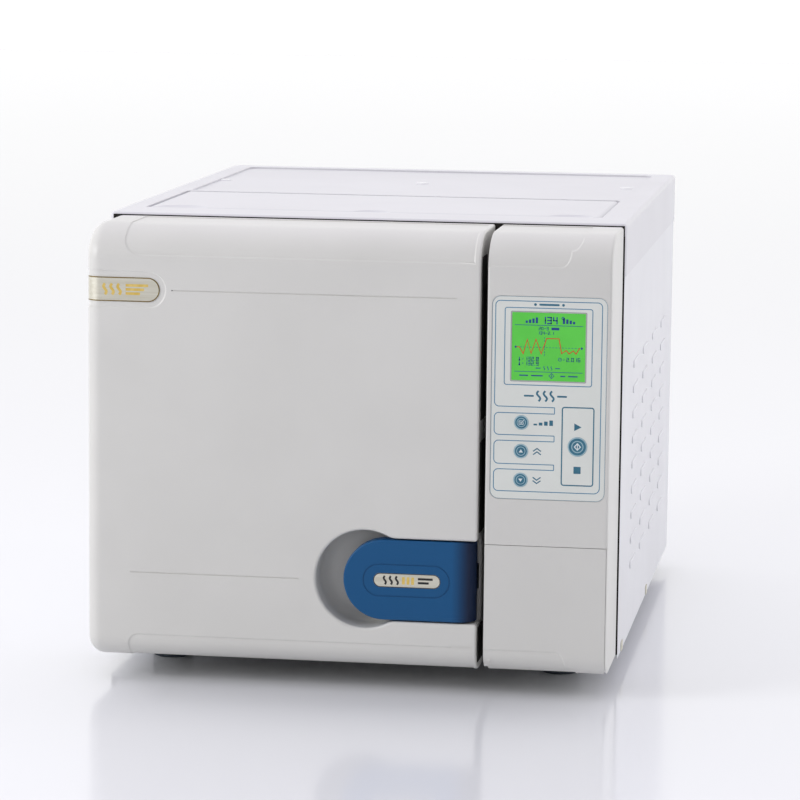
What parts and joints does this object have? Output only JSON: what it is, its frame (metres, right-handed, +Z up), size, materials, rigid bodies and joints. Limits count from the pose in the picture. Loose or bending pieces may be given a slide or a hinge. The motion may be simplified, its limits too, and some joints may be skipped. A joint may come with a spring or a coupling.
{
  "type": "benchtop autoclave",
  "caption": "Benchtop steam autoclave with a side-hinged door, blue pull handle, control column with display and keys, top-filled water tanks and service flap.",
  "frame": {"origin": "centre of the footprint, on the surface that the feet stand on", "axes": "+Z up, the door faces -Y, +X to the user's right; +Y runs along the chamber towards the back"},
  "size_m": [0.48, 0.682, 0.42],
  "materials": {
    "painted_steel": "smooth satin powder coat",
    "casing_abs": "finely textured moulded ABS",
    "cover_abs": "smooth moulded ABS",
    "liner_plastic": "moulded",
    "tab_plastic": "moulded",
    "frame_steel": "zinc plated",
    "stainless": "brushed",
    "turned_steel": "turned",
    "silicone": "translucent silicone",
    "glass_wool": "glass cloth over wool",
    "foot_rubber": "moulded",
    "black_plastic": "moulded",
    "rocker_red": "moulded",
    "cast_aluminium": "cast",
    "brass": "turned",
    "tank_plastic": "natural polypropylene",
    "grip_blue": "satin moulded",
    "badge_metal": "satin plate",
    "panel_foil": "printed polyester foil",
    "key_foil": "printed polyester dome",
    "lcd_glass": "backlit display",
    "circuit_board": "solder mask",
    "filter_plastic": "moulded",
    "knob_blue": "moulded",
    "knob_grey": "moulded"
  },
  "bodies": {
    "cabinet": {"base_pan": "painted_steel", "feet": "foot_rubber", "panel_tabs": "tab_plastic", "rear_panel": "painted_steel", "front_frame": "frame_steel", "top_cover": "cover_abs", "cover_caps": "cover_abs", "chamber_vessel": "stainless", "chamber_flange": "stainless", "heater_band": "silicone", "insulation_jacket": "glass_wool", "chamber_saddles": "frame_steel", "tray_rack": "stainless", "instrument_trays": "stainless", "steam_generator": "stainless", "vacuum_pump": "cast_aluminium", "solenoid_valves": "black_plastic", "power_supply": "cast_aluminium", "condenser": "cast_aluminium", "fan_shroud": "black_plastic", "safety_valve": "brass", "power_inlet": "black_plastic", "fuse_holders": "black_plastic", "control_casing": "casing_abs", "membrane_panel": "panel_foil", "lcd_module": "lcd_glass", "control_board": "circuit_board", "air_filter": "filter_plastic", "drain_valves": "brass", "switch_housing": "black_plastic", "hinge_brackets": "frame_steel", "hinge_pins": "turned_steel", "latch_striker": "frame_steel", "lock_solenoid": "black_plastic", "left_side_panel": "painted_steel", "right_side_panel": "painted_steel", "clean_water_tank": "tank_plastic", "used_water_tank": "tank_plastic"},
    "door": {"door_cover": "casing_abs", "door_liner": "liner_plastic", "door_beam": "frame_steel", "pressure_plate": "stainless", "door_gasket": "silicone", "door_badge": "badge_metal", "plate_spindle": "turned_steel", "handle_pin": "turned_steel"},
    "handle": {"handle_grip": "grip_blue", "handle_lever": "turned_steel", "handle_badge": "badge_metal"},
    "service_flap": {"service_flap": "casing_abs"},
    "tank_lid": {"tank_lid": "cover_abs"},
    "key_select": {"key_select": "key_foil"},
    "key_up": {"key_up": "key_foil"},
    "key_down": {"key_down": "key_foil"},
    "key_start": {"key_start": "key_foil"},
    "drain_knob_clean": {"drain_knob_clean": "knob_blue"},
    "drain_knob_used": {"drain_knob_used": "knob_grey"},
    "power_rocker": {"power_rocker": "rocker_red"},
    "lock_bolt": {"lock_bolt": "turned_steel"},
    "fan_rotor": {"fan_rotor": "black_plastic"}
  },
  "joints": [
    {"name": "door_hinge", "type": "hinge", "parent": "cabinet", "child": "door", "pos_m": [-0.226, -0.2565, 0.195], "axis": [0, 0, -1], "range_deg": [0, 105]},
    {"name": "handle_pivot", "type": "hinge", "parent": "door", "child": "handle", "pos_m": [0.104, -0.326, 0.104], "axis": [0, 0, 1], "range_deg": [0, 50]},
    {"name": "flap_hinge", "type": "hinge", "parent": "cabinet", "child": "service_flap", "pos_m": [0.18175, -0.318, 0.031], "axis": [1, 0, 0], "range_deg": [0, 90]},
    {"name": "tank_lid_hinge", "type": "hinge", "parent": "cabinet", "child": "tank_lid", "pos_m": [-0.0035, -0.004, 0.414], "axis": [-1, 0, 0], "range_deg": [0, 100]},
    {"name": "power_rocker_tip", "type": "hinge", "parent": "cabinet", "child": "power_rocker", "pos_m": [0.204, -0.279, 0.106], "axis": [0, 0, 1], "range_deg": [0, 9]},
    {"name": "lock_bolt_slide", "type": "slide", "parent": "cabinet", "child": "lock_bolt", "axis": [-1, 0, 0], "range_m": [0, 0.012], "stiffness_N_per_m": 60, "springref_m": -0.002},
    {"name": "fan_spin", "type": "hinge", "parent": "cabinet", "child": "fan_rotor", "pos_m": [-0.062, 0.3, 0.118], "axis": [0, 1, 0], "continuous": true},
    {"name": "key_select_press", "type": "slide", "parent": "cabinet", "child": "key_select", "axis": [0, 1, 0], "range_m": [0, 0.0008], "stiffness_N_per_m": 400, "springref_m": -0.0004},
    {"name": "key_up_press", "type": "slide", "parent": "cabinet", "child": "key_up", "axis": [0, 1, 0], "range_m": [0, 0.0008], "stiffness_N_per_m": 400, "springref_m": -0.0004},
    {"name": "key_down_press", "type": "slide", "parent": "cabinet", "child": "key_down", "axis": [0, 1, 0], "range_m": [0, 0.0008], "stiffness_N_per_m": 400, "springref_m": -0.0004},
    {"name": "key_start_press", "type": "slide", "parent": "cabinet", "child": "key_start", "axis": [0, 1, 0], "range_m": [0, 0.0008], "stiffness_N_per_m": 400, "springref_m": -0.0004},
    {"name": "drain_knob_clean_turn", "type": "hinge", "parent": "cabinet", "child": "drain_knob_clean", "pos_m": [0.188, -0.3, 0.062], "axis": [0, 1, 0], "range_deg": [0, 90]},
    {"name": "drain_knob_used_turn", "type": "hinge", "parent": "cabinet", "child": "drain_knob_used", "pos_m": [0.217, -0.3, 0.062], "axis": [0, 1, 0], "range_deg": [0, 90]}
  ]
}
